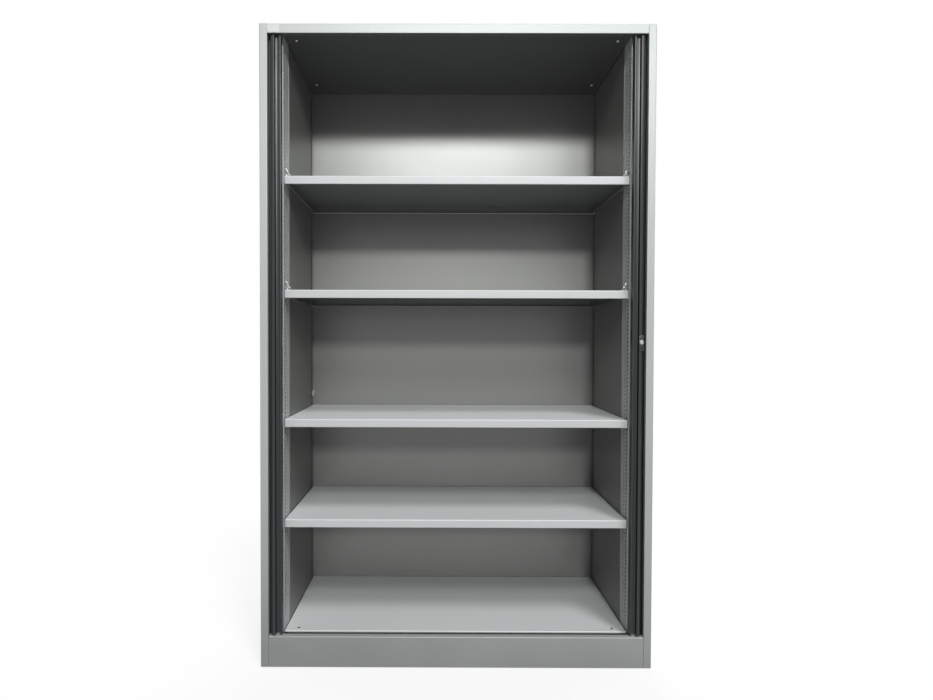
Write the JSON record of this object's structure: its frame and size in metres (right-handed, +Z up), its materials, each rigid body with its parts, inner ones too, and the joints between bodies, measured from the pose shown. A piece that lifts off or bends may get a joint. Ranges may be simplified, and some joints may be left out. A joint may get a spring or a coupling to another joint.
{
  "type": "tambour door cabinet",
  "caption": "Tall steel office cupboard with sideways tambour shutters, adjustable shelves, slotted uprights, a hook-bolt lock and levelling feet.",
  "frame": {"origin": "middle of the footprint, on the floor under the levelling feet", "axes": "+Z up, +X to the right seen from the front, +Y to the back; the doors face -Y"},
  "size_m": [1.2, 0.45, 1.96],
  "materials": {
    "silver_paint": "satin silver-grey powder coat",
    "shelf_paint": "satin silver-grey powder coat, a little lighter",
    "charcoal_profile": "dark charcoal satin coating on an extruded profile",
    "charcoal_curtain": "charcoal ribbed plastic",
    "track_plastic": "black plastic",
    "glide_plastic": "pale grey glide plastic",
    "zinc_wire": "bright zinc plate",
    "lock_chrome": "polished",
    "lock_housing": "black moulded plastic",
    "foot_plastic": "black plastic"
  },
  "bodies": {
    "carcass": {"left_side_panel": "silver_paint", "right_side_panel": "silver_paint", "top_rail": "silver_paint", "front_plinth": "silver_paint", "top_panel": "silver_paint", "base_floor": "silver_paint", "back_panel": "silver_paint", "left_liner": "silver_paint", "right_liner": "silver_paint", "left_front_upright": "silver_paint", "right_front_upright": "silver_paint", "left_rear_upright": "silver_paint", "right_rear_upright": "silver_paint", "ceiling_pan": "shelf_paint", "base_pan": "shelf_paint", "inner_back": "shelf_paint", "top_front_track": "track_plastic", "bottom_front_track": "track_plastic", "left_top_track": "track_plastic", "left_bottom_track": "track_plastic", "right_top_track": "track_plastic", "right_bottom_track": "track_plastic", "shelf_1_left_front_clip": "zinc_wire", "shelf_1_left_rear_clip": "zinc_wire", "shelf_1_right_front_clip": "zinc_wire", "shelf_1_right_rear_clip": "zinc_wire", "shelf_2_left_front_clip": "zinc_wire", "shelf_2_left_rear_clip": "zinc_wire", "shelf_2_right_front_clip": "zinc_wire", "shelf_2_right_rear_clip": "zinc_wire", "shelf_3_left_front_clip": "zinc_wire", "shelf_3_left_rear_clip": "zinc_wire", "shelf_3_right_front_clip": "zinc_wire", "shelf_3_right_rear_clip": "zinc_wire", "shelf_4_left_front_clip": "zinc_wire", "shelf_4_left_rear_clip": "zinc_wire", "shelf_4_right_front_clip": "zinc_wire", "shelf_4_right_rear_clip": "zinc_wire", "spare_clip": "zinc_wire"},
    "left_door": {"left_lead_stile": "charcoal_profile", "left_curtain": "charcoal_curtain", "left_bottom_glide": "glide_plastic", "left_top_glide": "glide_plastic", "strike_plate": "lock_chrome"},
    "right_door": {"right_lead_stile": "charcoal_profile", "right_curtain": "charcoal_curtain", "right_bottom_glide": "glide_plastic", "right_top_glide": "glide_plastic", "lock_housing": "lock_housing"},
    "lock_bolt": {"lock_barrel": "lock_chrome", "lock_hook": "zinc_wire"},
    "shelf_1": {"shelf_1": "shelf_paint"},
    "shelf_2": {"shelf_2": "shelf_paint"},
    "shelf_3": {"shelf_3": "shelf_paint"},
    "shelf_4": {"shelf_4": "shelf_paint"},
    "front_left_foot": {"front_left_foot": "foot_plastic"},
    "front_right_foot": {"front_right_foot": "foot_plastic"},
    "rear_left_foot": {"rear_left_foot": "foot_plastic"},
    "rear_right_foot": {"rear_right_foot": "foot_plastic"}
  },
  "joints": [
    {"name": "left_door_slide", "type": "slide", "parent": "carcass", "child": "left_door", "axis": [1, 0, 0], "range_m": [0, 0.534], "deforming": ["left_curtain"]},
    {"name": "right_door_slide", "type": "slide", "parent": "carcass", "child": "right_door", "axis": [-1, 0, 0], "range_m": [0, 0.534], "deforming": ["right_curtain"]},
    {"name": "lock_turn", "type": "hinge", "parent": "right_door", "child": "lock_bolt", "pos_m": [0.5617, -0.2035, 1.003], "axis": [0, -1, 0], "range_deg": [0, 90]},
    {"name": "shelf_1_lift", "type": "slide", "parent": "carcass", "child": "shelf_1", "axis": [0, 0, 1], "range_m": [0, 0.012]},
    {"name": "shelf_2_lift", "type": "slide", "parent": "carcass", "child": "shelf_2", "axis": [0, 0, 1], "range_m": [0, 0.012]},
    {"name": "shelf_3_lift", "type": "slide", "parent": "carcass", "child": "shelf_3", "axis": [0, 0, 1], "range_m": [0, 0.012]},
    {"name": "shelf_4_lift", "type": "slide", "parent": "carcass", "child": "shelf_4", "axis": [0, 0, 1], "range_m": [0, 0.012]},
    {"name": "front_left_foot_screw", "type": "slide", "parent": "carcass", "child": "front_left_foot", "axis": [0, 0, -1], "range_m": [0, 0.015]},
    {"name": "front_right_foot_screw", "type": "slide", "parent": "carcass", "child": "front_right_foot", "axis": [0, 0, -1], "range_m": [0, 0.015]},
    {"name": "rear_left_foot_screw", "type": "slide", "parent": "carcass", "child": "rear_left_foot", "axis": [0, 0, -1], "range_m": [0, 0.015]},
    {"name": "rear_right_foot_screw", "type": "slide", "parent": "carcass", "child": "rear_right_foot", "axis": [0, 0, -1], "range_m": [0, 0.015]}
  ]
}
